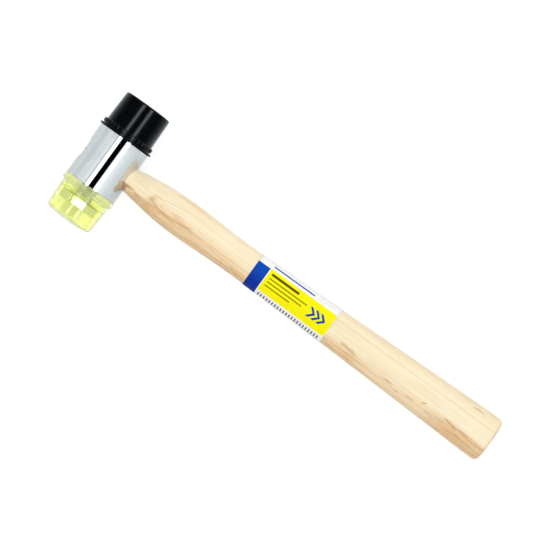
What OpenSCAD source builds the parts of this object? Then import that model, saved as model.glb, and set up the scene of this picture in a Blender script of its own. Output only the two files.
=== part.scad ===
// Two-way soft-face hammer lying on its side. +X runs along the handle to the butt, +Y along the head
// to the black face and +Z is up. The origin is on the floor, under the middle of the hammer's box.

/* [Head] */
// Diameter of the steel head
head_d = 33; // [28:0.5:40]
// Length of the steel head between its end faces
head_len = 34; // [32:0.5:50]
// Bevel on the rims of the steel head
head_bevel = 0.2; // [0.2:0.1:1.5]
// Diameter of the handle eye, drilled through the head
eye_d = 15.2; // [12:0.1:17]

/* [Screw] */
// Outer diameter of the stud's thread
thread_d = 8; // [5:0.5:9]
// Distance from the inner end of a stud to the eye
stud_stop = 1; // [0.5:0.1:4]
// Bevel on the ends of the stud
stud_bevel = 0.7; // [0.3:0.1:1]
// Running clearance around the thread
thread_gap = 0.05; // [0.02:0.01:0.1]
// Width of the captive nut across its flats
nut_af = 15; // [12:0.5:18]
// Turn of the captive nut about the head's axis, from one flat straight up
nut_turn = 3; // [-30:1:30]
// Thickness of the captive nut
nut_t = 5.2; // [4:0.1:7]
// Distance from the seat of a face to its captive nut
nut_setback = 8.2; // [6:0.1:10]

/* [Faces] */
// Length of a face from its seat to its striking end
tip_len = 23.6; // [21:0.2:34]
// Diameter of the striking end
strike_d = 30; // [24:0.5:36]
// How much the barrel widens on each side, from the striking end to the flange
barrel_draft = 0.5; // [0.2:0.1:1]
// How far the flange stands out from the barrel
flange_step = 1.3; // [0.8:0.1:3]
// Thickness of the black face's flange, with its lip
black_flange_t = 4.4; // [3.6:0.1:6]
// Thickness of the yellow face's flange
yellow_flange_t = 3.9; // [2.5:0.1:6]
// How far the lip on the black face's flange stands out from it
lip_step = 0.85; // [0.4:0.05:2]
// Thickness of the lip on the black face's flange
lip_t = 1.3; // [0.8:0.1:1.6]
// Width of the groove behind the lip
groove_w = 0.8; // [0.4:0.1:1]
// Depth of the groove behind the lip
groove_depth = 0.6; // [0.3:0.1:0.9]
// Number of finger notches round the black flange
notch_count = 36; // [24:1:48]
// Radius of a finger notch
notch_r = 0.7; // [0.5:0.1:0.9]
// Depth of a finger notch
notch_depth = 0.45; // [0.2:0.05:0.5]
// Rounding of the black striking edge
black_edge_r = 0.7; // [0.3:0.1:3]
// Rounding of the yellow striking edge
yellow_edge_r = 2.4; // [0.5:0.1:3]
// How far the yellow striking end falls from its middle to its edge
yellow_crown = 0.9; // [0.1:0.1:2]
// Diameter of the flat in the middle of a striking end
strike_flat_d = 8; // [4:0.5:16]

/* [Handle] */
// Distance from the head's axis to the end of the handle
handle_reach = 272.6; // [230:0.1:330]
// How far the neck of the handle stands out from the tenon at the head
neck_step = 0.1; // [0.05:0.05:1]
// Distance from the head's axis to the widest part of the swell
swell_at = 53.5; // [48:0.5:64]
// Width of the swell
swell_w = 22.6; // [19:0.1:28]
// Depth of the swell
swell_t = 20; // [17:0.1:24]
// Distance from the head's axis to the waist
waist_at = 94; // [80:0.5:110]
// Width of the waist
waist_w = 20.3; // [17:0.1:25]
// Depth of the waist
waist_t = 18.4; // [15:0.1:22]
// Width of the butt
butt_w = 28.6; // [25:0.1:34]
// Depth of the butt
butt_t = 24; // [20:0.1:28]
// Rounding of the butt's edge
butt_r = 3.2; // [1:0.1:5]
// Clearance of the tenon in the eye
tenon_gap = 0.05; // [0.02:0.01:0.2]
// How far the end of the tenon is trimmed below the head's surface
tenon_recess = 0.75; // [0.2:0.05:2]

/* [Wedges] */
// Depth of the wooden wedge, from the head's surface
wood_wedge_len = 20; // [14:0.5:24]
// Distance from each edge of the wooden wedge to the wall of the eye
wood_wedge_inset = 0.5; // [0.2:0.1:3]
// Thickness of the wooden wedge at its outer end
wood_wedge_t = 2.6; // [1.8:0.1:3.2]
// Depth of the steel wedge, from the head's surface
steel_wedge_len = 12; // [8:0.5:13]
// Distance from each edge of the steel wedge to the wall of the eye
steel_wedge_inset = 2.5; // [1:0.1:4]
// Thickness of the steel wedge at its outer end
steel_wedge_t = 1.8; // [1:0.1:2.4]
// Thickness of both wedges at their thin ends
wedge_tip_t = 0.7; // [0.4:0.1:1]
// Clearance round the wedges
wedge_gap = 0.03; // [0.01:0.01:0.1]

/* [Label] */
// Distance from the head's axis to the near edge of the label
label_at = 103.7; // [100:0.1:130]
// Length of the label along the handle
label_len = 55.5; // [30:0.1:80]
// Thickness of the label
label_t = 0.15; // [0.1:0.05:0.3]
// Width of the label's open seam, underneath
seam_w = 1.6; // [0.6:0.1:4]
// Clearance between the label and the wood
label_gap = 0.05; // [0.03:0.01:0.1]

/* [Hidden] */
$fn = 96;

// Clearance between a face's seat and the end of the steel head
seat_gap = 0.02;
// Clearance round a captive nut in its face
nut_gap = 0.02;
// Bevels on the flange rims and at the mouths of the tapped holes
rim_bevel = 0.4;
// Clearance between the head's surface and the handle's shoulder
shoulder_gap = 0.3;
// How far the tenon runs on inside the handle
tenon_root = 2;
// Number of flats on a nut, and the slope of the bevel on its corners
nut_sides = 6;
nut_bevel_angle = 30;
// Overrun of a cutting shape past the surface that it cuts
over = 1;

barrel_d = strike_d + 2 * barrel_draft;
flange_d = barrel_d + 2 * flange_step;
lip_d = flange_d + 2 * lip_step;
tenon_d = eye_d - 2 * tenon_gap;
neck_d = tenon_d + 2 * neck_step;
wood_wedge_w = eye_d - 2 * wood_wedge_inset;
steel_wedge_w = eye_d - 2 * steel_wedge_inset;

// The head lies on its widest rim, and the middle of the hammer's length is over the origin
widest_d = max(lip_d, flange_d, head_d);
axis_z = max(widest_d, butt_t) / 2;
head_x = -(handle_reach - widest_d / 2) / 2;
stud_grip = (head_len - eye_d) / 2 - stud_stop;
stud_out = nut_setback + nut_t;
bore_d = thread_d + 2 * thread_gap;

// Handle sections: superellipses with this power, on rings from the head to the butt
section_power = 2.2;
sides = 40;
neck_rings = 12;
swell_rings = 9;
grip_rings = 18;
butt_rings = 5;
label_rings = 10;
// The grip widens a little faster towards the butt than a straight taper
grip_power = 1.15;
neck_at = head_d / 2 + shoulder_gap;
round_at = handle_reach - butt_r;

// Size of the handle at distance d from the head's axis, from its sizes at neck, swell, waist and butt
function handle_size(d, neck, swell, waist, butt) =
    d < swell_at ? neck + (swell - neck) * sin(90 * (d - neck_at) / (swell_at - neck_at))
    : d < waist_at ? swell + (waist - swell) * (1 - cos(180 * (d - swell_at) / (waist_at - swell_at))) / 2
    : waist + (butt - waist) * pow((d - waist_at) / (handle_reach - waist_at), grip_power);

// What the rounded edge of the butt takes off each side
function butt_cut(d) = d < round_at ? 0 : butt_r - sqrt(max(0, pow(butt_r, 2) - pow(d - round_at, 2)));
function half_w(d) = handle_size(d, neck_d, swell_w, waist_w, butt_w) / 2 - butt_cut(d);
function half_t(d) = handle_size(d, neck_d, swell_t, waist_t, butt_t) / 2 - butt_cut(d);

function bulge(v) = sign(v) * pow(abs(v), 2 / section_power);
function section_point(d, angle, grow) = [
    head_x + d, (half_w(d) + grow) * bulge(cos(angle)), axis_z + (half_t(d) + grow) * bulge(sin(angle))];
function steps(from, to, count) = [for (i = [0 : count - 1]) from + (to - from) * i / count];

module at_head() {
    translate([head_x, 0, axis_z]) children();
}

// Local +Z points out of the black end of the head, and starts at its end face
module at_black_end() {
    at_head() translate([0, head_len / 2, 0]) rotate([-90, 0, 0]) children();
}

// Local +Z points out of the yellow end of the head, and starts at its end face
module at_yellow_end() {
    at_head() translate([0, -head_len / 2, 0]) rotate([90, 0, 0]) children();
}

// Local +Z runs along the handle, from a distance to the head's axis
module along_handle(from) {
    at_head() translate([from, 0, 0]) rotate([90, 0, 90]) children();
}

module head_body() {
    r = head_d / 2;
    color("gainsboro") difference() {
        at_yellow_end() rotate([180, 0, 0]) rotate_extrude() polygon([
            [0, 0], [r - head_bevel, 0], [r, head_bevel],
            [r, head_len - head_bevel], [r - head_bevel, head_len], [0, head_len]]);
        along_handle(-head_d) cylinder(d = eye_d, h = 2 * head_d);
        at_head() rotate([90, 0, 0]) cylinder(d = bore_d, h = head_len + 2 * over, center = true);
        at_black_end() tapped_mouth();
        at_yellow_end() tapped_mouth();
    }
}

module tapped_mouth() {
    depth = rim_bevel + over;
    translate([0, 0, -rim_bevel]) cylinder(d1 = bore_d, d2 = bore_d + 2 * depth, h = depth);
}

// A nut's block with bevelled corners
module hex_block(grow) {
    flat_r = nut_af / 2 + grow;
    corner_r = flat_r / cos(180 / nut_sides);
    height = nut_t + 2 * grow;
    bevel = (corner_r - flat_r) * tan(nut_bevel_angle);
    translate([0, 0, nut_setback - grow]) rotate(nut_turn) intersection() {
        cylinder(r = corner_r, h = height, $fn = nut_sides);
        rotate_extrude() polygon([
            [0, 0], [flat_r, 0], [corner_r, bevel],
            [corner_r, height - bevel], [flat_r, height], [0, height]]);
    }
}

module hex_nut() {
    difference() {
        hex_block(0);
        translate([0, 0, nut_setback - over]) cylinder(d = bore_d, h = nut_t + 2 * over);
    }
}

module stud() {
    r = thread_d / 2;
    rotate_extrude() polygon([
        [0, -stud_grip], [r - stud_bevel, -stud_grip], [r, stud_bevel - stud_grip],
        [r, stud_out - stud_bevel], [r - stud_bevel, stud_out], [0, stud_out]]);
}

// Half outline of a striking barrel, drafted towards its rounded end, which falls by the crown to its edge
module barrel_outline(root, edge_r, crown) {
    end = strike_d / 2 - edge_r;
    shoulder = tip_len - crown - edge_r;
    polygon([
        [0, root], [barrel_d / 2, root], [strike_d / 2, shoulder], [end, shoulder],
        [end, tip_len - crown], [strike_flat_d / 2, tip_len], [0, tip_len]]);
    intersection() {
        translate([end, shoulder]) circle(r = edge_r);
        translate([end, shoulder]) square(edge_r);
    }
}

// Half outline of a disc with bevelled rims
module disc_outline(diameter, from, to) {
    r = diameter / 2;
    polygon([
        [0, from], [r - rim_bevel, from], [r, from + rim_bevel],
        [r, to - rim_bevel], [r - rim_bevel, to], [0, to]]);
}

// Room in a moulded face for its nut and stud
module insert_room() {
    translate([0, 0, -over]) cylinder(d = bore_d, h = stud_out + over);
    translate([0, 0, -seat_gap]) hex_block(nut_gap);
}

module black_face() {
    notch_from = lip_t + groove_w / 2;
    color([0.06, 0.06, 0.065]) at_black_end() translate([0, 0, seat_gap]) difference() {
        rotate_extrude() {
            disc_outline(lip_d, 0, lip_t);
            translate([0, lip_t / 2]) square([flange_d / 2 - groove_depth, black_flange_t - lip_t]);
            disc_outline(flange_d, lip_t + groove_w, black_flange_t);
            barrel_outline(black_flange_t / 2, black_edge_r, 0);
        }
        for (i = [0 : notch_count - 1]) rotate(i * 360 / notch_count)
            translate([flange_d / 2 + notch_r - notch_depth, 0, notch_from])
                cylinder(r = notch_r, h = black_flange_t - notch_from + over);
        insert_room();
    }
}

module yellow_face() {
    color([0.9, 0.94, 0.4, 0.6]) at_yellow_end() translate([0, 0, seat_gap]) difference() {
        rotate_extrude() {
            disc_outline(flange_d, 0, yellow_flange_t);
            barrel_outline(yellow_flange_t / 2, yellow_edge_r, yellow_crown);
        }
        insert_room();
    }
}

module black_nut() {
    color("darkgray") at_black_end() hex_nut();
}

module yellow_nut() {
    color("darkgray") at_yellow_end() hex_nut();
}

module black_stud() {
    color("silver") at_black_end() stud();
}

module yellow_stud() {
    color("silver") at_yellow_end() stud();
}

// Keeps what lies below the head's surface at the end of the tenon, where it is sanded to the round head
module trimmed() {
    intersection() {
        children();
        at_head() rotate([90, 0, 0]) cylinder(r = head_d / 2 - tenon_recess, h = head_len, center = true);
    }
}

// Tapered outline of a wedge, driven in from the end of the tenon
module wedge_outline(length, thick, grow) {
    end = thick / 2 + grow;
    tip = wedge_tip_t / 2 + grow;
    inner = length + grow - head_d / 2;
    polygon([[-head_d / 2, -end], [inner, -tip], [inner, tip], [-head_d / 2, end]]);
}

module wood_wedge_blank(width, grow) {
    at_head() rotate([90, 0, 0]) linear_extrude(width, center = true)
        wedge_outline(wood_wedge_len, wood_wedge_t, grow);
}

module steel_wedge_blank(grow) {
    at_head() linear_extrude(steel_wedge_w + 2 * grow, center = true)
        wedge_outline(steel_wedge_len, steel_wedge_t, grow);
}

module wooden_wedge() {
    color("peru") difference() {
        trimmed() wood_wedge_blank(wood_wedge_w, 0);
        steel_wedge_blank(wedge_gap);
    }
}

module steel_wedge() {
    color("dimgray") trimmed() steel_wedge_blank(0);
}

// Two triangles for each cell between neighbouring rings of count points
function cell_faces(k, i, count) =
    let (a = k * count + i, b = k * count + (i + 1) % count, c = a + count, e = b + count)
    [[a, c, b], [b, c, e]];

module handle_shaft() {
    distances = concat(
        steps(neck_at, swell_at, neck_rings), steps(swell_at, waist_at, swell_rings),
        steps(waist_at, round_at, grip_rings),
        [for (i = [0 : butt_rings]) round_at + butt_r * sin(90 * i / butt_rings)]);
    last = (len(distances) - 1) * sides;
    polyhedron(
        points = [for (d = distances) for (i = [0 : sides - 1]) section_point(d, 360 * i / sides, 0)],
        faces = concat(
            [[for (i = [0 : sides - 1]) i]],
            [for (k = [0 : len(distances) - 2]) for (i = [0 : sides - 1]) each cell_faces(k, i, sides)],
            [[for (i = [0 : sides - 1]) last + sides - 1 - i]]));
}

module handle() {
    color("burlywood") difference() {
        union() {
            handle_shaft();
            along_handle(0) cylinder(d = tenon_d, h = neck_at + tenon_root);
            trimmed() along_handle(-head_d) cylinder(d = tenon_d, h = head_d + tenon_root);
        }
        wood_wedge_blank(eye_d, wedge_gap);
        steel_wedge_blank(wedge_gap);
    }
}

// A thin wrap round the grip with its seam underneath. Each ring runs round the outer skin from the
// seam and back along the inner skin.
module label() {
    seam = asin(pow(seam_w / 2 / half_w(label_at), section_power / 2));
    angles = concat(
        [seam - 90], [for (i = [1 : sides - 1]) 360 * i / sides - 90], [270 - seam]);
    wrap = len(angles);
    count = 2 * wrap;
    distances = [for (k = [0 : label_rings]) label_at + label_len * k / label_rings];
    points = [for (d = distances) concat(
        [for (a = angles) section_point(d, a, label_gap + label_t)],
        [for (i = [wrap - 1 : -1 : 0]) section_point(d, angles[i], label_gap)])];
    end_faces = [for (i = [0 : wrap - 2])
        each [[i, i + 1, count - 2 - i], [i, count - 2 - i, count - 1 - i]]];
    color("ivory") polyhedron(
        points = [for (ring = points) each ring],
        faces = concat(
            end_faces,
            [for (k = [0 : label_rings - 1]) for (i = [0 : count - 1]) each cell_faces(k, i, count)],
            [for (f = end_faces) [for (i = [2 : -1 : 0]) f[i] + label_rings * count]]));
}

head_body();
black_face();
black_nut();
black_stud();
yellow_face();
yellow_nut();
yellow_stud();
handle();
wooden_wedge();
steel_wedge();
label();
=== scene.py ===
"""Looks of a two-way soft-face hammer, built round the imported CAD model.

Shapes are worked out in millimetres as numpy grids and put into meshes in metres. Materials are node
expressions on Object coordinates, or on the label's own UV map. +X runs along the handle from the head to the
butt, +Y along the head from the yellow face to the black face, and +Z is up.
"""

import math

import bmesh
import bpy
import numpy as np
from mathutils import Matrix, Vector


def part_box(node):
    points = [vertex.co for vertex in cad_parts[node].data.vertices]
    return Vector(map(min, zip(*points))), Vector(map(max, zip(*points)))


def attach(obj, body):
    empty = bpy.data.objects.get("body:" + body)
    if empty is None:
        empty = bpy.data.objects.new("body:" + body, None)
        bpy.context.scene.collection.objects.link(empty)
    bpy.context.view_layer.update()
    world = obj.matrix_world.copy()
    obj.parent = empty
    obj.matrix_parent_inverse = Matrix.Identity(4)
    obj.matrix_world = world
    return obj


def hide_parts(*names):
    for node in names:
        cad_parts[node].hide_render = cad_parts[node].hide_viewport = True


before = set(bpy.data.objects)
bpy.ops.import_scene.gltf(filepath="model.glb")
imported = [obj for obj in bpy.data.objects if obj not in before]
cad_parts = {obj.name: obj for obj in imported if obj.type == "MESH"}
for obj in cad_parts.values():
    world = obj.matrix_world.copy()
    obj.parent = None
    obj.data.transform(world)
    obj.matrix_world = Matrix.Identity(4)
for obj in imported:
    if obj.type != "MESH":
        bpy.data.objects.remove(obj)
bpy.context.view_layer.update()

MM = 0.001
FULL_TURN = 2 * math.pi
low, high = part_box("head_body")
HEAD_X = (low.x + high.x) / 2 / MM
AXIS_Z = (low.z + high.z) / 2 / MM
HEAD_R = (high.x - low.x) / 2 / MM
HEAD_LEN = (high.y - low.y) / MM

# Sizes that the CAD source gives its pieces, in millimetres
SEAT_GAP = 0.02
TIP_LEN = 23.6
STRIKE_R = 15.0
BARREL_R = 15.5
FLANGE_R = 16.8
LIP_R = 17.65
BLACK_FLANGE = 4.4
YELLOW_FLANGE = 3.9
LIP_T = 1.3
GROOVE_W = 0.8
GROOVE_DEPTH = 0.6
NOTCHES = 36
NOTCH_R = 0.7
NOTCH_DEPTH = 0.45
YELLOW_CROWN = 0.9
THREAD_R = 4.0
BORE_R = 4.05
STUD_GRIP = 8.4
STUD_OUT = 13.4
STUD_BEVEL = 0.7
NUT_SETBACK = 8.2
NUT_FLAT_R = 7.5
NUT_T = 5.2
NUT_TURN = 3.0
TENON_R = 7.55
TENON_TRIM_R = 15.75
HANDLE_REACH = 272.6
SWELL_AT, SWELL_W, SWELL_T = 53.5, 22.6, 20.0
WAIST_AT, WAIST_W, WAIST_T = 94.0, 20.3, 18.4
BUTT_W, BUTT_T, BUTT_R = 28.6, 24.0, 3.2
GRIP_POWER = 1.15
SECTION_POWER = 2.2
LABEL_AT, LABEL_LEN, LABEL_T, LABEL_GAP = 103.7, 55.5, 0.15, 0.05
SEAM_W = 1.6
# Wedges: depth from the head's surface, thickness at the outer end, thickness at the thin end, clearance
WOOD_WEDGE = (20.0, 2.6, 0.7, 0.03)
STEEL_WEDGE = (12.0, 1.8, 0.7, 0.03)
STEEL_WEDGE_W = 10.2

# Finer sizes that only the scene has, in millimetres
BLACK_EDGE_R, BLACK_FILLET, RING_FILLET, GROOVE_FILLET, LIP_FILLET = 1.2, 0.35, 0.3, 0.15, 0.4
FLANGE_DRAFT = 0.03
FLANGE_FROM = BARREL_R + 0.3
YELLOW_EDGE_R, YELLOW_FILLET, YELLOW_SEAT_FILLET = 2.9, 0.4, 0.12
THREAD_PITCH, THREAD_DEPTH = 1.25, 0.77
THREAD_CREST, THREAD_FLANK = 0.12, 0.72
NUT_ROOM_R = 8.75
NUT_BEVEL, NUT_FAR_BEVEL = 0.8, 0.25
NUT_CROWN, NUT_LIP, NUT_LIP_FROM = 0.14, 0.7, 0.72
SHOULDER_LEN = 8.0
TENON_INSIDE = -8.0
SLOT_OVERCUT = 1.0

# Fineness of the meshes
WELD, SLIVER = 2e-7, 1e-8
BRACE, NUT_BRACE, LONG_SIDE = 0.06, 0.1, 0.5
NOTCH_COLUMNS = 16
ROUND_COLUMNS = 288
CROWN_ROWS, CROWN_STOP = 24, 0.3
PITCH_ROWS, STUD_COLUMNS = 14, 60
HANDLE_COLUMNS = 144
END_ROWS, TENON_ROWS, SHAFT_ROWS, BUTT_ROWS = 14, 10, 190, 12
LABEL_ROWS, LABEL_COLUMNS = 57, 161
UV_SCALE = 100.0


def srgb(red, green, blue):
    """A colour from 0 to 255 in display values, as the linear RGBA that a shader takes."""
    v = np.array([red, green, blue]) / 255
    linear = np.where(v <= 0.04045, v / 12.92, ((v + 0.055) / 1.055) ** 2.4)
    return (*linear.tolist(), 1.0)


# Shapes

def rounded(corners, steps=8):
    """A profile through corners (r, s, fillet): each fillet is an arc that touches the two sides of its
    corner, at fillet / tan(half the corner's angle) from it, in equal steps of angle. Long sides get a point
    close to each end, so that smooth shading keeps them straight."""
    spots = np.array([c[:2] for c in corners], float)
    fillets = [c[2] for c in corners[1:-1]]
    runs = [spots[:1]]
    for before, corner, after, fillet in zip(spots, spots[1:], spots[2:], fillets):
        if fillet == 0:
            runs.append(corner[None])
            continue
        a, b = before - corner, after - corner
        a, b = a / np.linalg.norm(a), b / np.linalg.norm(b)
        half = math.acos(np.clip(a @ b, -1, 1)) / 2
        centre = corner + (a + b) / np.linalg.norm(a + b) * fillet / math.sin(half)
        ends = corner + np.stack([a, b]) * fillet / math.tan(half) - centre
        turn = np.arctan2(ends[:, 1], ends[:, 0])
        swing = (turn[1] - turn[0] + math.pi) % FULL_TURN - math.pi
        arc = turn[0] + swing * np.linspace(0, 1, steps + 1)
        runs.append(centre + fillet * np.stack([np.cos(arc), np.sin(arc)], 1))
    line = np.concatenate(runs + [spots[-1:]])
    step = np.diff(line, axis=0)
    side = np.linalg.norm(step, axis=1)
    brace = (BRACE / np.maximum(side, 1e-6))[:, None]
    braced = np.stack([line[:-1], line[:-1] + step * brace, line[1:] - step * brace], 1)
    keep = np.stack([side > 0, side > LONG_SIDE, side > LONG_SIDE], 1)
    return np.concatenate([braced[keep], line[-1:]])


def full_circle(count):
    """Equal angles round a full turn, without the last, which is the first again."""
    return np.linspace(0, FULL_TURN, count, endpoint=False)


def head_ring(radius, reach, turn, side):
    """Points round the head's axis: radius across it, reach out of the head's end face on one side."""
    return np.stack(np.broadcast_arrays(
        HEAD_X + radius * np.cos(turn), side * (HEAD_LEN / 2 + reach), AXIS_Z + radius * np.sin(turn)), -1)


def skin(name, points, round_columns=True, split_angle=32):
    """A mesh object from a grid of points in millimetres: neighbouring rows and columns make four-sided faces.
    Points that coincide, at poles and seams, are welded, and the faces of a closed skin are turned outwards."""
    rows, columns = points.shape[:2]
    mesh = bpy.data.meshes.new(name)
    strips = columns if round_columns else columns - 1
    row, column = np.meshgrid(np.arange(rows - 1), np.arange(strips), indexing="ij")
    after = (column + 1) % columns
    quads = np.stack([row * columns + column, row * columns + after,
                      (row + 1) * columns + after, (row + 1) * columns + column], -1).reshape(-1, 4)
    mesh.vertices.add(rows * columns)
    mesh.vertices.foreach_set("co", (points * MM).astype(np.float32).ravel())
    mesh.loops.add(quads.size)
    mesh.loops.foreach_set("vertex_index", quads.astype(np.int32).ravel())
    mesh.polygons.add(len(quads))
    mesh.polygons.foreach_set("loop_start", np.arange(0, quads.size, 4, dtype=np.int32))
    mesh.update(calc_edges=True)
    work = bmesh.new()
    work.from_mesh(mesh)
    if round_columns:
        bmesh.ops.remove_doubles(work, verts=work.verts, dist=WELD)
        bmesh.ops.dissolve_degenerate(work, edges=work.edges, dist=SLIVER)
        bmesh.ops.recalc_face_normals(work, faces=work.faces)
    work.to_mesh(mesh)
    work.free()
    mesh.shade_smooth()
    mesh.set_sharp_from_angle(angle=math.radians(split_angle))
    piece = bpy.data.objects.new(name, mesh)
    bpy.context.scene.collection.objects.link(piece)
    return piece


def insert_room():
    """Inside of a face, from its seat to its end: a bore for the stud and a round pocket for the nut."""
    shelf, deep = NUT_SETBACK - SEAT_GAP, SEAT_GAP + STUD_OUT
    return [(BORE_R, SEAT_GAP, 0), (BORE_R, shelf, 0),
            (NUT_ROOM_R, shelf, 0), (NUT_ROOM_R, deep, 0), (0, deep, 0)]


def black_face():
    """A turned profile from the striking end over barrel, notched flange, groove and lip to the seat and the
    bore. Across the flange's ring the radius is the lesser of the profile's and of round notches, whose depth
    at an arc distance t from a notch's middle is sqrt(notch radius^2 - t^2) less what lies outside the flange.
    Lip and flange lose a little radius with the distance from the seat."""
    end, root = SEAT_GAP + TIP_LEN, SEAT_GAP + BLACK_FLANGE
    lip, ring = SEAT_GAP + LIP_T, SEAT_GAP + LIP_T + GROOVE_W
    floor_r = FLANGE_R - GROOVE_DEPTH
    line = rounded([
        (0, end, 0), (STRIKE_R, end, BLACK_EDGE_R), (BARREL_R, root, BLACK_FILLET),
        (FLANGE_R, root, BLACK_FILLET), (FLANGE_R, ring, RING_FILLET),
        (floor_r, ring, GROOVE_FILLET), (floor_r, lip, GROOVE_FILLET),
        (LIP_R, lip, LIP_FILLET), (LIP_R, SEAT_GAP, BLACK_FILLET), *insert_room()])
    turn = full_circle(NOTCHES * NOTCH_COLUMNS)
    pitch = FULL_TURN / NOTCHES
    arc = FLANGE_R * ((turn + pitch / 2) % pitch - pitch / 2)
    depth = np.sqrt(np.maximum(NOTCH_R ** 2 - arc ** 2, 0)) - (NOTCH_R - NOTCH_DEPTH)
    notched = FLANGE_R - np.maximum(depth, 0)
    radius, reach = line[:, :1], line[:, 1:]
    on_ring = (radius > FLANGE_FROM) & (reach > lip + GROOVE_W / 2)
    radius = np.where(on_ring, np.minimum(radius, notched), radius)
    radius = radius - np.where(radius > FLANGE_FROM, FLANGE_DRAFT * (reach - SEAT_GAP), 0)
    return skin("black_face_moulding", head_ring(radius, reach, turn, 1))


def yellow_face():
    """A turned profile from the crowned striking end over the rounded edge, barrel and plain flange to the
    seat. The crown falls with the square of the radius."""
    end, root = SEAT_GAP + TIP_LEN, SEAT_GAP + YELLOW_FLANGE
    line = rounded([
        (0, end - YELLOW_CROWN, 0), (STRIKE_R, end - YELLOW_CROWN, YELLOW_EDGE_R),
        (BARREL_R, root, YELLOW_FILLET), (FLANGE_R, root, YELLOW_FILLET),
        (FLANGE_R, SEAT_GAP, YELLOW_SEAT_FILLET), (0, SEAT_GAP, 0)], steps=12)
    rim = STRIKE_R - YELLOW_EDGE_R
    top = np.linspace(0, rim - CROWN_STOP, CROWN_ROWS)
    crown = np.stack([top, end - YELLOW_CROWN * (top / rim) ** 2], 1)
    line = np.concatenate([crown, line[(line[:, 0] >= rim - 1e-6) | (line[:, 1] < root + 1)]])
    return skin("yellow_face_moulding", head_ring(line[:, :1], line[:, 1:], full_circle(ROUND_COLUMNS), -1))


def threaded_stud(name, side):
    """A rod whose radius falls by the thread's depth between the turns of a helix: the distance from the ridge,
    as a share of half a pitch, is flattened at the crest and at the root. Both ends are bevelled."""
    turns = round((STUD_GRIP + STUD_OUT) / THREAD_PITCH)
    reach = np.linspace(-STUD_GRIP, STUD_OUT, PITCH_ROWS * turns)[:, None]
    turn = full_circle(STUD_COLUMNS)
    winding = (reach / THREAD_PITCH - side * turn / FULL_TURN) % 1
    fall = np.clip((np.abs(2 * winding - 1) - THREAD_CREST) / THREAD_FLANK, 0, 1)
    radius = THREAD_R - THREAD_DEPTH * fall
    from_end = np.minimum(reach + STUD_GRIP, STUD_OUT - reach)
    radius = np.minimum(radius, THREAD_R - STUD_BEVEL + from_end)
    grid = head_ring(radius, reach, turn, side)
    poles = [head_ring(np.zeros_like(turn), end, turn, side)[None] for end in (-STUD_GRIP, STUD_OUT)]
    return skin(name, np.concatenate([poles[0], grid, poles[1]]), split_angle=50)


def captive_nut(name, side):
    """A hexagonal block round the stud: its radius is flat radius / cos(angle from the nearest flat's middle),
    less a slight crown that grows with the square of the distance from that middle, plus a low lip along one
    edge of the flat, less a bevel at each end. Its bore is round. It is turned about the head's axis from one
    flat straight up."""
    lean = math.radians(-side * NUT_TURN)
    far = NUT_T - NUT_FAR_BEVEL
    rise = np.array([0, NUT_BEVEL, NUT_BEVEL + NUT_BRACE, NUT_T / 2, far - NUT_BRACE, far, NUT_T])[:, None]
    sixth = math.pi / 3
    turn = full_circle(ROUND_COLUMNS) + lean
    off_flat = (turn - lean) % sixth - sixth / 2
    share = np.tan(off_flat) / math.tan(sixth / 2)
    bevel = np.maximum(NUT_BEVEL - rise, 0) + np.maximum(rise - far, 0)
    swell = NUT_LIP * np.maximum(share - NUT_LIP_FROM, 0) ** 2 - NUT_CROWN * share ** 2
    radius = (NUT_FLAT_R - bevel + swell) / np.cos(off_flat)
    outside = head_ring(radius, NUT_SETBACK + rise, turn, side)
    bore = head_ring(np.full_like(rise, BORE_R), NUT_SETBACK + rise, turn, side)[::-1]
    return skin(name, np.concatenate([outside, bore, outside[:1]]), split_angle=25)


def ease(v):
    """Smooth step from 0 at 0 to 1 at 1."""
    v = np.clip(v, 0, 1)
    return v * v * (3 - 2 * v)


def handle_half(d, swell, waist, butt):
    """Half a size of the handle at distance d from the head's axis: a quarter sine from the tenon to the swell,
    half a cosine from the swell to the waist, and a power of the distance from the waist to the butt."""
    neck = 2 * TENON_R
    to_swell = np.clip((d - HEAD_R) / (SWELL_AT - HEAD_R), 0, 1)
    to_waist = np.clip((d - SWELL_AT) / (WAIST_AT - SWELL_AT), 0, 1)
    to_butt = np.clip((d - WAIST_AT) / (HANDLE_REACH - WAIST_AT), 0, 1)
    size = np.where(d < SWELL_AT, neck + (swell - neck) * np.sin(to_swell * math.pi / 2),
                    swell + (waist - swell) * (1 - np.cos(to_waist * math.pi)) / 2)
    return np.where(d < WAIST_AT, size, waist + (butt - waist) * to_butt ** GRIP_POWER) / 2


def handle_ring(d, turn, grow=0.0, share=1.0):
    """Points of the handle's section at distance d: a superellipse, round at the tenon, with a rounded edge at
    the butt."""
    past = np.clip(d - (HANDLE_REACH - BUTT_R), 0, BUTT_R)
    lost = BUTT_R - np.sqrt(BUTT_R ** 2 - past ** 2)
    power = 2 / (2 + (SECTION_POWER - 2) * ease((d - HEAD_R) / SHOULDER_LEN))
    bulge = [np.sign(v) * np.abs(v) ** power for v in (np.cos(turn), np.sin(turn))]
    wide = share * (handle_half(d, SWELL_W, WAIST_W, BUTT_W) - lost + grow)
    thick = share * (handle_half(d, SWELL_T, WAIST_T, BUTT_T) - lost + grow)
    return np.stack(np.broadcast_arrays(HEAD_X + d, wide * bulge[0], AXIS_Z + thick * bulge[1]), -1)


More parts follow.
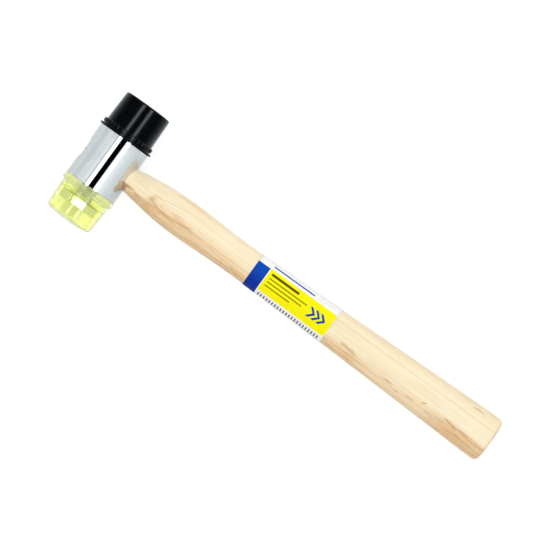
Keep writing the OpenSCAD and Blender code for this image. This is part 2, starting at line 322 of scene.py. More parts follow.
def handle():
    """Sections along the handle from the tenon to the butt, closed at both ends by sections that shrink to a
    point. The tenon's end lies on a cylinder round the head's axis, where x = -sqrt(trim radius^2 - z^2)."""
    turn = full_circle(HANDLE_COLUMNS)
    shares = np.concatenate([np.linspace(0, 0.97, END_ROWS), [0.995]])[:, None]
    straight_end = HANDLE_REACH - BUTT_R
    in_head = np.linspace(TENON_INSIDE, HEAD_R, TENON_ROWS)
    straight = np.linspace(HEAD_R, straight_end, SHAFT_ROWS)[1:]
    edge = straight_end + BUTT_R * np.sin(np.linspace(0.06, math.pi / 2, BUTT_ROWS))
    body = np.concatenate([in_head, straight, edge])[:, None]
    tenon = np.concatenate([shares, [[1.0]]]) * TENON_R
    height = tenon * np.sin(turn)
    tenon_x = HEAD_X - np.sqrt(TENON_TRIM_R ** 2 - height ** 2)
    tenon_end = np.stack([tenon_x, tenon * np.cos(turn), AXIS_Z + height], -1)
    butt_end = handle_ring(np.full_like(shares, HANDLE_REACH), turn, share=shares[::-1])
    grid = np.concatenate([tenon_end, handle_ring(body, turn), butt_end])
    return skin("handle_wood_shaft", grid, split_angle=50)


def label():
    """A sheet round the grip: distance along the handle by angle round it, open at a seam underneath. Its UV
    map holds millimetres / 100 along the handle and round it, measured from the middle of the upper side."""
    d = np.linspace(LABEL_AT, LABEL_AT + LABEL_LEN, LABEL_ROWS)[:, None]
    seam = math.asin((SEAM_W / 2 / (WAIST_W / 2)) ** (SECTION_POWER / 2))
    turn = np.linspace(seam - math.pi / 2, 1.5 * math.pi - seam, LABEL_COLUMNS)
    grid = handle_ring(d, turn, LABEL_GAP + LABEL_T)
    piece = skin("label_wrap", grid, round_columns=False)
    step = np.linalg.norm(np.diff(grid, axis=1), axis=2)
    arc = np.concatenate([np.zeros_like(d), np.cumsum(step, 1)], 1)
    middle = LABEL_COLUMNS // 2
    arc = arc[:, middle:middle + 1] - arc
    uv = np.stack([np.broadcast_to(d - LABEL_AT, arc.shape), arc], -1).reshape(-1, 2) / UV_SCALE
    corner = np.zeros(len(piece.data.loops), np.int32)
    piece.data.loops.foreach_get("vertex_index", corner)
    piece.data.uv_layers.new(name="print").data.foreach_set("uv", uv[corner].astype(np.float32).ravel())
    wall = piece.modifiers.new("paper", "SOLIDIFY")
    wall.thickness = LABEL_T * MM
    wall.offset = -1
    return piece


def wedge_block(name, wedge, width, along):
    """A tapered block to cut a wedge's slot: half thickness falls along the depth, with the clearance added."""
    depth, thick, tip, gap = wedge
    reach = np.array([-HEAD_R - SLOT_OVERCUT, depth - HEAD_R + gap])[:, None]
    half = (thick + (tip - thick) * (reach + HEAD_R) / depth) / 2 + gap
    corner = np.array([[1, 1], [-1, 1], [-1, -1], [1, -1]])
    across = np.stack([corner[:, 0] * width / 2 + 0 * half, corner[:, 1] * half], -1)
    if along == "z":
        across = across[..., ::-1]
    x = np.broadcast_to(HEAD_X + reach, across.shape[:2])
    ring = np.stack([x, across[..., 0], AXIS_Z + across[..., 1]], -1)
    ends = np.broadcast_to(ring.mean(1, keepdims=True), ring.shape)
    return skin(name, np.concatenate([ends[:1], ring, ends[1:]]))


def cut(piece, blocks):
    """Takes the blocks out of a piece, and the blocks out of the scene."""
    for block in blocks:
        slot = piece.modifiers.new("slot", "BOOLEAN")
        slot.object = block
        slot.solver = "EXACT"
    bpy.context.view_layer.update()
    shaped = bpy.data.meshes.new_from_object(piece.evaluated_get(bpy.context.evaluated_depsgraph_get()))
    piece.modifiers.clear()
    piece.data = shaped
    for block in blocks:
        bpy.data.objects.remove(block)


# Materials

class Signal:
    """A node's output in an expression: arithmetic on it adds Math nodes to its tree."""

    def __init__(self, nodes, socket):
        self.nodes = nodes
        self.socket = socket

    def math(self, operation, *values):
        return self.nodes.node("Math", {"operation": operation}, dict(enumerate(values)))

    def __add__(self, other):
        return self.math("ADD", self, other)

    def __sub__(self, other):
        return self.math("SUBTRACT", self, other)

    def __rsub__(self, other):
        return self.math("SUBTRACT", other, self)

    def __mul__(self, other):
        return self.math("MULTIPLY", self, other)

    def __truediv__(self, other):
        return self.math("DIVIDE", self, other)

    def __abs__(self):
        return self.math("ABSOLUTE", self)

    def most(self, other):
        return self.math("MAXIMUM", self, other)

    def rise(self, start, end):
        """0 up to start, 1 from end on, and a smooth step between; it falls where start is the greater."""
        return self.nodes.node("MapRange", {"interpolation_type": "SMOOTHSTEP"},
                               {"Value": self, "From Min": start, "From Max": end})

    def within(self, start, full, fade, end):
        """0 up to start, 1 from full to fade, 0 from end on, and smooth steps between."""
        return self.rise(start, full) * self.rise(end, fade)

    __radd__ = __add__
    __rmul__ = __mul__


class Nodes:
    """A node tree, and the one method that makes any node in it."""

    def __init__(self, tree):
        self.tree = tree
        tree.nodes.clear()

    def node(self, kind, settings=None, sockets=None, output=0):
        """Adds a node: its settings come first, then the values or links of its sockets. Gives one output, if
        it has any."""
        made = self.tree.nodes.new("ShaderNode" + kind)
        for key, value in (settings or {}).items():
            if key == "stops":
                self.set_stops(made.color_ramp, value)
            else:
                setattr(made, key, value)
        for key, value in (sockets or {}).items():
            if isinstance(value, Signal):
                self.tree.links.new(value.socket, made.inputs[key])
            else:
                made.inputs[key].default_value = value
        return Signal(self, made.outputs[output]) if made.outputs else None

    @staticmethod
    def set_stops(ramp, stops):
        """Places a ramp's stops, (position, grey value) in rising order."""
        for spare in list(ramp.elements)[1:]:
            ramp.elements.remove(spare)
        for number, (place, value) in enumerate(stops):
            stop = ramp.elements[0] if number == 0 else ramp.elements.new(place)
            stop.position = place
            stop.color = (value, value, value, 1)

    def curve(self, signal, start, end, stops):
        """A curve of straight pieces over a signal from start to end, through stops (signal, value)."""
        values = [value for _, value in stops]
        base, span = min(values), max(values) - min(values)
        marks = [((place - start) / (end - start), (value - base) / span) for place, value in stops]
        return base + span * self.node("ValToRGB", {"stops": marks}, {"Fac": (signal - start) / (end - start)})

    def split(self, vector):
        """The x, y and z of a vector."""
        first = self.node("SeparateXYZ", None, {0: vector})
        return [Signal(self, out) for out in first.socket.node.outputs]

    def light_path(self):
        """What a ray is: seen straight by the camera, mirrored, or seen through clear material."""
        path = self.node("LightPath")
        names = ("Is Camera Ray", "Is Glossy Ray", "Is Transmission Ray")
        return [Signal(self, path.socket.node.outputs[name]) for name in names]

    def noise(self, vector, scale, detail=2.0, rough=0.5, bend=0.0):
        return self.node("TexNoise", None, {"Vector": vector, "Scale": scale, "Detail": detail,
                                            "Roughness": rough, "Distortion": bend})

    def scaled(self, vector, size):
        """Divides a vector in millimetres by the size of a pattern along x, y and z."""
        return self.node("Mapping", None, {"Vector": vector, "Scale": tuple(1 / s for s in size)})

    def mix(self, factor, first, second, blend="MIX"):
        return self.node("Mix", {"data_type": "RGBA", "blend_type": blend, "clamp_factor": True},
                         {0: factor, 6: first, 7: second}, 2)


class Finish(Nodes):
    """A procedural material."""

    def __init__(self, name):
        self.material = bpy.data.materials.new(name)
        self.material.use_nodes = True
        super().__init__(self.material.node_tree)

    def place(self):
        """Object coordinates in millimetres from the middle of the head."""
        where = self.node("TexCoord", None, None, 3)
        return self.node("Mapping", None, {"Vector": where, "Scale": (1 / MM,) * 3,
                                           "Location": (-HEAD_X, 0.0, -AXIS_Z)})

    def bump(self, height, depth, strength):
        """A normal from a height between 0 and 1 that stands for a depth in millimetres."""
        return self.node("Bump", None, {"Strength": strength, "Distance": depth * MM, "Height": height})

    def surface(self, **sockets):
        """The Principled shader, with its sockets named in words joined by underscores."""
        names = {key.replace("_", " ").title().replace("Ior", "IOR"): value for key, value in sockets.items()}
        return self.finish(self.node("BsdfPrincipled", None, names))

    def finish(self, shader):
        """Links the shader to the material's output and gives the material."""
        self.node("OutputMaterial", None, {"Surface": shader})
        return self.material


def chromed_steel():
    """Polished chrome: hairline polishing marks round the head, a few faint smears and fine pits."""
    chrome = Finish("chromed_steel")
    at = chrome.place()
    lines = chrome.noise(chrome.scaled(at, (6.0, 0.05, 6.0)), 1.0, 3, 0.6)
    smear = chrome.noise(chrome.scaled(at, (9.0, 14.0, 9.0)), 1.0, 3, 0.55, 0.6)
    pits = chrome.noise(at, 3.0, 1, 0.5).rise(0.72, 0.78)
    rough = 0.035 + 0.05 * smear.rise(0.45, 0.75) + 0.04 * lines.rise(0.5, 0.8) + 0.12 * pits
    tone = chrome.mix(smear.rise(0.3, 0.8), (0.700, 0.695, 0.690, 1), (0.667, 0.668, 0.667, 1))
    return chrome.surface(base_color=tone, metallic=1.0, roughness=rough,
                          normal=chrome.bump(lines, 0.0012, 0.5))


def black_plastic():
    """Moulded black plastic: satin with a fine mould grain, faint clouds and scuffs along its length."""
    black = Finish("black_plastic")
    at = black.place()
    grain = black.noise(at, 2.6, 3, 0.6)
    cloud = black.noise(at, 0.22, 3, 0.6)
    scuff = black.noise(black.scaled(at, (0.4, 5.0, 0.4)), 1.0, 3, 0.65).rise(0.62, 0.8)
    tone = black.mix(0.5 * cloud + 0.4 * scuff, srgb(3, 4, 6), srgb(9, 10, 12))
    rough = 0.15 + 0.04 * cloud + 0.08 * scuff
    return black.surface(base_color=tone, roughness=rough, specular_ior_level=0.08,
                         normal=black.bump(grain, 0.004, 0.4))


# Places in the yellow face, as distances from the middle of the head: paler flange, flange's edge with a
# painted highlight, band at the sides and line at the nut with painted shade, pale rim, end with painted light
PALE_FLANGE = (20.8, 17.2)
FLANGE_HIGHLIGHT = (19.9, 20.7, 20.9, 21.7)
SIDE_SHADE, NUT_SHADE_LINE, SHADE_END = (22.0, 24.3), (24.0, 24.8), (25.8, 25.0)
PALE_RIM, END_LIGHT = (36.4, 39.6), (38.0, 40.0)
# Squared distance from the head's axis over which the striking end's rounded edge turns pale and matt
RIM_SQUARED = (142.0, 196.0)


def yellow_plastic():
    """Clear tinted moulding: smooth, with faint flow lines and rubbed patches, darkened by painted shade in a
    band beside the flange and a line at the nut, and paler towards the head. The flange's edge turns pale and
    matt as a painted highlight, the rim of the striking end turns pale and matt, painted light pales the end's
    matt colour, and the clear surface turns pale where it is seen at a glancing angle."""
    yellow = Finish("yellow_plastic")
    at = yellow.place()
    x, y, z = yellow.split(at)
    out = 0.0 - y
    aside = abs(x)
    flow = yellow.noise(yellow.scaled(at, (3.0, 9.0, 3.0)), 1.0, 3, 0.55, 0.4)
    rub = yellow.noise(at, 0.35, 3, 0.6).rise(0.5, 0.8)
    # Painted shade: a darker band at the sides beside the flange, and a dark line at the nut
    sides = 0.7 * aside.rise(2.5, 6.0) * out.rise(*SIDE_SHADE)
    band = sides.most(out.rise(*NUT_SHADE_LINE)) * out.rise(*SHADE_END)
    seat = out.rise(*PALE_FLANGE) * (0.35 + 0.65 * aside.rise(12.5, 7.5))
    tone = yellow.mix(flow, srgb(243, 249, 164), srgb(237, 244, 139))
    tone = yellow.mix(0.9 * band, tone, srgb(200, 210, 78))
    tone = yellow.mix(seat, tone, srgb(243, 249, 200))
    clear = yellow.node("BsdfPrincipled", None, {
        "Base Color": tone, "Roughness": 0.1 + 0.08 * rub, "IOR": 1.5, "Transmission Weight": 0.74,
        "Normal": yellow.bump(flow, 0.02, 0.35)})
    # Painted light: the end's matt colour is lightened
    painted_end_light = out.rise(*END_LIGHT)
    chalky = yellow.mix(flow, srgb(255, 255, 226), srgb(252, 253, 208))
    chalky = yellow.mix(painted_end_light, chalky, srgb(255, 255, 246))
    matt = yellow.node("BsdfPrincipled", None, {"Base Color": chalky, "Roughness": 0.5 + 0.2 * rub})
    # Painted highlight: the flange's edge turns pale and matt
    step = out.within(*FLANGE_HIGHLIGHT)
    edge = (0.1 + 0.3 * aside.rise(3.0, 9.0)) * step
    rim = 0.4 * out.rise(*PALE_RIM) * (x * x + z * z).rise(*RIM_SQUARED)
    glancing = yellow.node("LayerWeight", None, {"Blend": 0.5}, 1).rise(0.42, 0.76)
    worn = edge.most(rim).most((0.7 - 0.4 * step + 0.15 * painted_end_light) * glancing)
    return yellow.finish(yellow.node("MixShader", None, {0: worn, 1: clear, 2: matt}))


# Squared distances from the head's axis over which the thread begins, and over which painted shade darkens its
# roots
THREAD_SQUARED, ROOT_SHADE_SQUARED = (20.5, 18.5), (14.6, 11.0)


def plated_steel():
    """Bright plated steel with a greenish tinge: fine turning marks and a slight mottle. Near the axis the
    thread is duller, darkened by painted shade in its roots, and darker in a strip along its top and underside
    where it enters the head."""
    plate = Finish("plated_steel")
    at = plate.place()
    x, y, z = plate.split(at)
    squared, out = x * x + z * z, abs(y)
    thread = squared.rise(*THREAD_SQUARED)
    # Darker in a strip along the thread's top and underside where it enters the head
    strip_darkening = thread * out.rise(23.5, 20.5) * abs(x).rise(2.4, 1.0)
    # Painted shade in the thread's roots
    root = squared.rise(*ROOT_SHADE_SQUARED) * out.rise(24.5, 22.5)
    marks = plate.noise(plate.scaled(at, (2.5, 0.12, 2.5)), 1.0, 2, 0.6)
    mottle = plate.noise(at, 0.7, 3, 0.6)
    tone = plate.mix(mottle, (0.80, 0.86, 0.80, 1), (0.71, 0.77, 0.71, 1))
    tone = plate.mix(thread, tone, (0.92, 0.95, 0.90, 1))
    tone = plate.mix(0.3 * strip_darkening, tone, (0.44, 0.48, 0.44, 1))
    tone = plate.mix(0.75 * root, tone, (0.22, 0.26, 0.20, 1))
    return plate.surface(base_color=tone, metallic=1.0, roughness=0.05 + 0.08 * marks + 0.36 * thread,
                         normal=plate.bump(marks, 0.006, 0.5))


def plain_steel():
    """Bare steel wedge: hammered end, dull with brown specks."""
    steel = Finish("plain_steel")
    at = steel.place()
    dents = steel.noise(at, 0.9, 3, 0.6)
    specks = steel.noise(at, 2.2, 2, 0.6).rise(0.6, 0.75)
    tone = steel.mix(specks, (0.34, 0.34, 0.34, 1), srgb(120, 84, 60))
    return steel.surface(base_color=tone, metallic=1 - 0.7 * specks, roughness=0.38 + 0.3 * dents,
                         normal=steel.bump(dents, 0.08, 0.6))


# Tones of two woods: pale and deep ground, tan and dark layer
WOOD_TONES = [srgb(250, 238, 208), srgb(245, 224, 184), srgb(248, 220, 177), srgb(207, 167, 117)]
WEDGE_TONES = [srgb(203, 164, 116), srgb(186, 144, 96), srgb(170, 126, 80), srgb(140, 98, 58)]
# Tones of their figure, and of painted shade at the neck and the butt's darker end
HAZE_TONE, HONEY_TONE = srgb(247, 217, 170), srgb(240, 198, 142)
VESSEL_TONE, LOOP_TONE = srgb(178, 134, 86), srgb(206, 156, 100)
STAIN_TONE, MARK_TONE = srgb(226, 178, 118), srgb(184, 138, 88)
NECK_SHADE_TONE, BUTT_END_TONE = srgb(132, 102, 76), srgb(196, 170, 134)

# The tan layer along the handle, as (distance from the head's axis, value): place of its edge across the
# handle, strength, half width of the soft edge, and reach of the haze beside it
WOOD_SPAN = 275.0
LAYER_EDGE = [
    (0, -3.4), (15, -3.7), (22, -4.5), (28, -4.8), (30.5, -3.8), (33, -2.6), (36, -3.2), (40, -4.0), (46, -4.4),
    (52, -4.3), (60, -3.5), (70, -3.8), (80, -4.6), (92, -5.2), (104, -5.7), (150, -6.9), (165, -6.4),
    (182, -6.7), (195, -7.5), (215, -7.2), (232, -7.5), (240, -6.8), (247, -5.9), (258, -6.2), (274, -6.7)]
LAYER_STRENGTH = [
    (0, 0.95), (45, 0.95), (62, 0.85), (75, 0.75), (104, 0.72), (158, 0.74), (178, 0.66), (190, 0.48),
    (205, 0.36), (228, 0.36), (238, 0.7), (248, 1.0), (274, 1.0)]
LAYER_SOFT = [
    (0, 0.5), (28, 0.6), (33, 1.5), (40, 0.8), (56, 0.9), (68, 3.0), (104, 3.0), (158, 1.0), (180, 1.1),
    (198, 2.4), (232, 2.4), (246, 1.5), (262, 0.7), (275, 0.6)]
LAYER_HAZE = [
    (0, 1.2), (29, 1.4), (33, 6.0), (42, 5.5), (52, 4.6), (64, 3.2), (104, 3.0), (160, 2.2), (172, 3.6),
    (184, 2.4), (240, 2.4), (250, 3.4), (262, 1.4), (275, 1.2)]

# Marks in the handle's wood: distance along it, place across it, half length, half width, slant, strength
WOOD_MARKS = [
    (17.5, -3.7, 3.0, 0.40, -0.03, 0.90), (25.0, -4.9, 3.2, 0.45, -0.12, 0.95),
    (35.5, 2.0, 3.0, 0.70, 0.25, 0.30), (33.8, -1.0, 2.2, 1.20, 0.30, 0.30),
    (46.5, -4.4, 6.0, 0.45, -0.02, 0.60), (56.0, -3.8, 6.0, 0.50, 0.08, 0.45),
    (166.0, -10.0, 8.0, 0.45, 0.00, 0.60), (175.0, -4.6, 6.0, 1.20, -0.12, 0.55),
    (178.5, -5.8, 3.2, 0.60, -0.05, 0.55), (176.0, -7.6, 17.0, 0.45, 0.00, 0.45),
    (204.0, -6.4, 4.6, 0.45, -0.02, 0.80), (211.0, -8.4, 2.4, 0.40, 0.00, 0.50),
    (219.6, -7.0, 3.8, 0.50, 0.00, 0.60), (228.2, -4.4, 1.6, 0.50, 0.55, 0.85),
    (233.5, -7.6, 2.8, 0.60, 0.00, 0.40), (247.5, -5.2, 5.0, 0.70, -0.20, 0.75),
    (257.0, -5.5, 3.6, 0.80, -0.05, 0.60), (256.5, 10.8, 3.8, 0.55, 0.00, 0.75),
    (256.6, 6.0, 0.8, 0.30, 0.00, 0.50), (222.0, 5.7, 60.0, 0.30, 0.00, 0.30),
    (265.0, -7.0, 9.0, 0.40, 0.00, 0.50), (93.0, -7.2, 3.5, 0.40, 0.06, 0.45),
    (99.5, -8.4, 4.5, 0.35, 0.00, 0.40), (86.0, -9.4, 7.0, 0.30, 0.00, 0.40),
    (60.5, -2.4, 2.4, 0.45, 0.30, 0.45), (171.0, -4.4, 2.6, 0.50, 0.14, 0.45),
    (254.5, -8.6, 2.6, 0.35, 0.00, 0.55)]

# Stains in it: distance along, place across, half length, half width, strength
WOOD_STAINS = [
    (36.0, -6.6, 7.0, 2.2, 0.45), (33.5, -1.4, 3.4, 2.4, 0.30), (52.0, -1.6, 7.0, 1.5, 0.35),
    (70.0, -7.6, 10.0, 1.6, 0.35), (92.0, -8.4, 9.0, 1.2, 0.35), (177.0, -9.6, 6.0, 1.3, 0.55),
    (250.0, -9.6, 10.0, 3.6, 0.45), (225.0, 1.0, 14.0, 3.0, 0.12), (196.0, -3.0, 12.0, 2.0, 0.14),
    (60.0, 5.5, 16.0, 1.6, 0.14), (24.0, 3.0, 6.0, 1.4, 0.14), (57.0, 9.6, 13.0, 1.0, 0.35),
    (98.0, -7.0, 6.0, 1.8, 0.30)]

# Loops of its figure, open towards the butt: place of the tip along and across, spread, strength above, below
WOOD_LOOPS = [(32.6, -0.9, 0.75, 0.30, 0.60), (40.0, -1.2, 1.6, 0.12, 0.26), (49.0, -1.4, 2.6, 0.08, 0.24)]

# Painted shade where the neck enters the head, and the butt's darker end (end grain, with painted shade on its
# rounded edge), as distances from the head's axis
NECK_SHADE_SPAN, BUTT_END_SHADE = (14.0, 15.6, 16.4, 18.0), (270.6, 272.4)


def wood(name, pale, deep, tan, dark, shift=0.0, marks=(), stains=(), loops=()):
    """Straight-grained wood in three dimensions. Fibre noise is stretched along the handle; a tan layer lies
    on one side of a wavy surface that is given by its distance from the axis along the handle, with a softness
    and a haze that also vary along it, and is feathered along the fibres; short dark vessels, thin ring lines,
    soft stains and torn elliptical marks run with the fibres. The butt's end is darker, partly as end grain and
    partly as painted shade on its rounded edge, and painted shade darkens the neck's lower side where it enters
    the head. Loops of the figure are lines where the distance from a tip equals spread
    times the square of the offset across, on the upper side."""
    timber = Finish(name)
    at = timber.place()
    along, across, up = timber.split(at)

    def grain(size, detail, rough):
        return timber.noise(timber.scaled(at, size), 1.0, detail, rough)

    wander = grain((70.0, 30.0, 30.0), 2, 0.5) - 0.5
    feather = grain((24.0, 0.9, 2.2), 3, 0.6) - 0.5
    ragged = grain((5.0, 1.4, 1.4), 3, 0.6) - 0.5
    tear = grain((7.0, 0.45, 0.8), 3, 0.6)
    broad = grain((60.0, 1.3, 1.7), 3, 0.6)
    fine = grain((24.0, 0.36, 0.42), 3, 0.65)
    cloud = grain((26.0, 4.0, 5.0), 2, 0.5)
    vessel = grain((6.0, 0.24, 0.24), 1, 0.5)
    fleck = grain((3.0, 0.5, 0.6), 2, 0.6)
    rings = grain((140.0, 0.8, 2.0), 2, 0.5).rise(0.46, 0.7)
    edge, strength, soft, reach = [timber.curve(along, 0.0, WOOD_SPAN, stops) for stops in
                                   (LAYER_EDGE, LAYER_STRENGTH, LAYER_SOFT, LAYER_HAZE)]
    inside = edge + 0.12 * up - across + 1.4 * wander + 1.6 * ragged + 3.4 * feather + shift
    layer = inside.rise(0.0 - soft, soft) * strength
    haze = inside.rise(0.0 - reach, 0.0)
    light = timber.mix(broad.rise(0.28, 0.74), pale, deep)
    light = timber.mix(haze * (0.25 + 0.35 * cloud.rise(0.3, 0.7)), light, HAZE_TONE)
    heavy = timber.mix((0.5 * broad + 0.5 * fine).rise(0.38, 0.62), tan, dark)
    heavy = timber.mix(0.5 * cloud.rise(0.42, 0.7), heavy, HONEY_TONE)
    tone = timber.mix(layer, light, heavy)
    tone = timber.mix(rings * (0.14 + 0.5 * layer), tone, dark)
    tone = timber.mix(fine.rise(0.48, 0.74) * (0.34 + 0.1 * layer), tone, tan)
    tone = timber.mix(fine.rise(0.5, 0.3) * 0.7 * layer, tone, deep)
    tone = timber.mix(fleck.rise(0.5, 0.8) * (0.3 + 0.25 * layer), tone, tan)
    tone = timber.mix(vessel.rise(0.62, 0.76) * (0.16 + 0.45 * layer), tone, VESSEL_TONE)
    upper = up.rise(-1.0, 4.0)
    for tip, side, spread, above, below in loops:
        off = across - side + 0.9 * ragged + 0.6 * feather
        run = along - tip - spread * off * off
        steep = 1 + (2 * spread) ** 2 * off * off
        slope = steep.math("SQRT", steep)
        line = abs(run / slope + 0.8 * feather).rise(0.75, 0.1) * along.rise(tip + 34.0, tip + 6.0)
        weight = below + (above - below) * off.rise(-0.5, 0.8)
        tone = timber.mix(line * upper * weight, tone, LOOP_TONE)
    for place, side, long, wide, weight in stains:
        run, off = (along - place) / long + 0.8 * ragged, (across - side) / wide + 1.4 * feather
        tone = timber.mix((run * run + off * off).rise(1.4, 0.0) * (weight * upper), tone, STAIN_TONE)
    for place, side, long, wide, slant, weight in marks:
        run = (along - place) / long + 1.6 * ragged
        off = (across - side - slant * (along - place)) / wide + 2.4 * feather
        worn = (run * run + off * off).rise(1.5, 0.0) * (weight * upper) * tear.rise(0.22, 0.56)
        tone = timber.mix(worn, tone, MARK_TONE)
    # Painted shade on the neck's lower side where it enters the head, which the chrome also mirrors
    neck_shade = along.within(*NECK_SHADE_SPAN) * across.rise(-2.6, -4.6)
    tone = timber.mix(0.65 * neck_shade, tone, NECK_SHADE_TONE)
    # The butt's end darker: end grain, with painted shade on its rounded edge
    tone = timber.mix(0.55 * along.rise(*BUTT_END_SHADE), tone, BUTT_END_TONE)
    relief = 0.6 * fine + 0.4 * (1 - vessel.rise(0.6, 0.8))
    return timber.surface(base_color=tone, roughness=0.46 + 0.14 * fine, specular_ior_level=0.4,
                          sheen_weight=0.4, sheen_roughness=0.3, normal=timber.bump(relief, 0.03, 0.5))


# Patches on the label in millimetres: from and to along it, from and to round it
FIELD = (8.7, 55.2), (-8.1, 7.0)
BLUE_BAND = (-1.0, 8.2), (-30.0, 6.6)
BLUE_LINE = (9.5, 38.0), (8.8, 9.9)
DARK_BAR = (10.8, 30.0), (3.4, 4.9)
TICK_ROW = (10.0, 53.9), (-13.0, -9.6)
RULES = [((10.8, end), (foot, foot + 0.8)) for end, foot in ((37.5, 1.0), (35.0, -1.3), (28.0, -3.6))]
# Ticks: their pitch along the row, and their start and end as shares of it
TICK_PITCH, TICK_SHARE = 2.0, (0.1, 0.5)
# Chevrons: places of their tips along the label, width, and extent and middle round it
CHEVRON_TIPS, CHEVRON_W, CHEVRON_SPAN, CHEVRON_MIDDLE = (42.6, 46.2, 49.8), 1.9, (-3.7, 2.7), -0.5
PRINT_SOFT = 0.12


def printed_paper():
    """Printed wrap: a yellow field beside a blue band on white paper, with blue chevrons, a dark bar and thin
    rules on the field, a blue line above it and a row of ticks below it, on the label's own UV map in
    millimetres."""
    paper = Finish("printed_paper")
    where = paper.node("UVMap", {"uv_map": "print"})
    at = paper.node("VectorMath", {"operation": "SCALE"}, {0: where, "Scale": UV_SCALE})
    along, around, _ = paper.split(at)

    def band(value, start, end):
        return value.within(start - PRINT_SOFT, start + PRINT_SOFT, end - PRINT_SOFT, end + PRINT_SOFT)

    def patch(run, girth):
        return band(along, *run) * band(around, *girth)

    def joined(first, *others):
        for other in others:
            first = first.most(other)
        return first

    fibre = paper.noise(at, 1.6, 3, 0.6)
    cloud = paper.noise(at, 0.12, 2, 0.5)
    arrow = along + abs(around - CHEVRON_MIDDLE)
    stripes = [band(arrow, tip, tip + CHEVRON_W) for tip in CHEVRON_TIPS]
    chevrons = joined(*stripes) * band(around, *CHEVRON_SPAN)
    blue = joined(patch(*BLUE_BAND), chevrons, patch(*BLUE_LINE))
    rules = joined(*[patch(*rule) for rule in RULES])
    comb = along * (1 / TICK_PITCH)
    ticks = band(comb - comb.math("FLOOR", comb), *TICK_SHARE) * patch(*TICK_ROW)
    ink = paper.mix(around.rise(-8.0, 6.0), srgb(0, 48, 154), srgb(0, 76, 188))
    tone = paper.mix(patch(*FIELD), srgb(250, 250, 249), srgb(255, 247, 0))
    tone = paper.mix(rules, tone, srgb(150, 138, 0))
    tone = paper.mix(patch(*DARK_BAR), tone, srgb(84, 74, 6))
    tone = paper.mix(blue, tone, ink)
    tone = paper.mix(ticks, tone, srgb(74, 78, 84))
    tone = paper.mix(0.2 * fibre + 0.1 * cloud, tone, srgb(214, 214, 214), "MULTIPLY")
    return paper.surface(base_color=tone, roughness=0.42 + 0.16 * fibre, specular_ior_level=0.1,
                         normal=paper.bump(0.3 * fibre + 0.7 * cloud, 0.03, 0.4))


# Pieces

WEDGE_SHIFT = 4.0
finishes = {
    "chromed_steel": chromed_steel(),
    "black_plastic": black_plastic(),
    "yellow_plastic": yellow_plastic(),
    "plated_steel": plated_steel(),
    "plain_steel": plain_steel(),
    "handle_wood": wood("handle_wood", *WOOD_TONES, marks=WOOD_MARKS, stains=WOOD_STAINS, loops=WOOD_LOOPS),
    "wedge_wood": wood("wedge_wood", *WEDGE_TONES, shift=WEDGE_SHIFT),
    "printed_paper": printed_paper(),
}


def dress(piece, body, node, slot):
    """Puts a piece in place of a CAD node: it rides on a body and takes a slot and that slot's material."""
    piece.data.materials.append(finishes[slot])
    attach(piece, body)
    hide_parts(node)


shaft = handle()
cut(shaft, [wedge_block("wood_wedge_slot", WOOD_WEDGE, 2 * TENON_R + 2 * SLOT_OVERCUT, "y"),
            wedge_block("steel_wedge_slot", STEEL_WEDGE, STEEL_WEDGE_W + 2 * STEEL_WEDGE[3], "z")])
dress(shaft, "hammer", "handle", "handle_wood")
dress(label(), "hammer", "label", "printed_paper")
dress(black_face(), "black_tip", "black_face", "black_plastic")
dress(yellow_face(), "yellow_tip", "yellow_face", "yellow_plastic")
dress(threaded_stud("black_stud_thread", 1), "black_screw", "black_stud", "plated_steel")
dress(threaded_stud("yellow_stud_thread", -1), "yellow_screw", "yellow_stud", "plated_steel")
dress(captive_nut("black_nut_block", 1), "black_tip", "black_nut", "plated_steel")
dress(captive_nut("yellow_nut_block", -1), "yellow_tip", "yellow_nut", "plated_steel")
own_skin = {"head_body": "chromed_steel", "wooden_wedge": "wedge_wood", "steel_wedge": "plain_steel"}
for node, slot in own_skin.items():
    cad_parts[node].material_slots[0].material = finishes[slot]


# Floor, light and camera

FLOOR_HALF, FLOOR_DROP = 4000.0, 0.05
FLOOR_TONE = (0.55, 0.55, 0.55, 1)
# Light from the floor: seen by the camera, mirrored beside the head, seen through clear material
FLOOR_SEEN, FLOOR_MIRRORED, FLOOR_THROUGH = 0.67, 0.41, 0.5
# Light from the floor that the black face mirrors, as (distance from the head's axis, value)
FLOOR_SPAN = 400.0
FLOOR_FALL = [(0, 1.3), (44, 1.3), (60, 1.1), (98, 0.7), (150, 0.25), (280, 0.0), (400, 0.0)]


def floor():
    """A pale floor that leans so that the flanges and the butt both touch it. Where the black face mirrors it,
    it falls off away from the head."""
    lean = (AXIS_Z - BUTT_T / 2) / (HANDLE_REACH - BUTT_R)
    x, y = np.meshgrid([-FLOOR_HALF, FLOOR_HALF], [-FLOOR_HALF, FLOOR_HALF], indexing="ij")
    piece = skin("floor", np.stack([x, y, lean * (x - HEAD_X) - FLOOR_DROP], -1), round_columns=False)
    pale = Finish("pale_floor")
    straight, glossy, through = pale.light_path()
    cloth = pale.node("BsdfDiffuse", None, {"Color": FLOOR_TONE})
    mirrored = glossy * (1 - through)
    x, y, _ = pale.split(pale.place())
    away = pale.curve(abs(x), 0.0, FLOOR_SPAN, FLOOR_FALL)
    beside = y.rise(20.0, 24.0)
    shine = (FLOOR_SEEN * straight + (beside * away + FLOOR_MIRRORED * (1 - beside)) * mirrored
             + FLOOR_THROUGH * through)
    tint = pale.mix(mirrored, (1, 1, 1, 1), (0.8, 0.94, 1.0, 1))
    glow = pale.node("Emission", None, {"Color": tint, "Strength": shine})
    piece.data.materials.append(pale.finish(pale.node("AddShader", None, {0: cloth, 1: glow})))


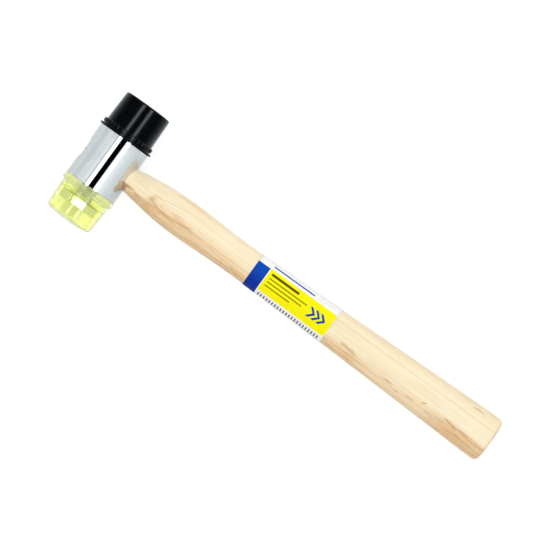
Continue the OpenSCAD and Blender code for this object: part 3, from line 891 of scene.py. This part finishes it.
# The room's parts, in degrees from straight up about the head's axis, all turned by one angle
ROOM_TURN = 4.4
GAP = (-11, -9, 11, 13)
STRIPS = [(-25, -22, -14, -11), (16, 19, 27, 30)]
GLOW = [(-160, 1.1), (-123, 1.12), (-100, 1.04), (-87, 1.05), (-75, 1.12), (-62, 1.3), (-50, 1.25), (-39, 1.42),
        (-31.5, 1.38), (-28.5, 0.5), (-25.5, 1.45), (-18, 1.72), (20, 1.72), (28, 1.65), (35, 1.54), (46, 1.39),
        (58, 1.27), (70, 1.18), (84, 1.12), (98, 0.98), (116, 0.95), (150, 0.87)]


def studio():
    """A white room: two narrow light strips over the head on either side of a dark gap, a soft glow beyond
    them, a dark flag towards the black face, and plain white below, all slightly cool where it is mirrored.
    Matt surfaces see a dimmer room that is brighter at the horizon and on the side of the black face."""
    world = bpy.data.worlds.new("studio")
    bpy.context.scene.world = world
    world.use_nodes = True
    room = Nodes(world.node_tree)
    straight, glossy, through = room.light_path()
    x, y, z = room.split(room.node("TexCoord", None, None, 0))
    tilt = x.math("ARCTAN2", x, z) * math.degrees(1)
    glow = room.curve(tilt, -180.0, 180.0, [(angle + ROOM_TURN, value) for angle, value in GLOW])
    first, second = [tilt.within(*(ROOM_TURN + angle for angle in strip)) for strip in STRIPS]
    strips = first.most(second)
    near = abs(y).rise(0.36, 0.22)
    gap = tilt.within(*(ROOM_TURN + angle for angle in GAP)) * near
    flag = y.within(0.011, 0.024, 0.2, 0.3) * z.rise(0.0, 0.12)
    mirrored = glossy * (1 - through)
    bright = 3.3 + 20.7 * y.rise(0.012, 0.03) + 3.5 * y.rise(-0.012, -0.03) * mirrored
    mirror = (1 - gap) * (1 - 0.96 * flag) * glow + bright * strips * near
    matt = 0.3 + z.rise(0.9, 0.0) * (1.14 + 0.31 * y) + 6.8 * strips * near
    shiny = glossy.most(through)
    level = straight + (1 - straight) * (shiny * mirror + (1 - shiny) * matt)
    tint = room.mix(mirrored, (1, 1, 1, 1), (0.757, 0.82, 0.849, 1))
    sky = room.node("Background", None, {"Color": tint, "Strength": level})
    room.node("OutputWorld", None, {"Surface": sky})


# The camera's height over the head's axis, the width that it sees there, its place along and across the
# handle, in millimetres, and its turn in degrees
EYE_HEIGHT, EYE_WIDTH, EYE_ALONG, EYE_ACROSS, EYE_TURN = 1500.0, 317.4, 116.0, 4.8, 36.04
SENSOR = 36.0


def camera():
    """Straight above the hammer, turned so that the handle runs from upper left to lower right."""
    eye = bpy.data.objects.new("camera", bpy.data.cameras.new("camera"))
    eye.data.sensor_width = SENSOR
    eye.data.lens = SENSOR * EYE_HEIGHT / EYE_WIDTH
    eye.data.clip_start = 0.01
    eye.location = ((HEAD_X + EYE_ALONG) * MM, EYE_ACROSS * MM, (AXIS_Z + EYE_HEIGHT) * MM)
    eye.rotation_euler = (0, 0, math.radians(EYE_TURN))
    bpy.context.scene.collection.objects.link(eye)
    bpy.context.scene.camera = eye


floor()
studio()
camera()
bpy.context.scene.view_settings.view_transform = "Standard"
bpy.context.scene.cycles.glossy_bounces = 12
bpy.context.scene.cycles.max_bounces = 24
bpy.context.scene.cycles.transmission_bounces = 24
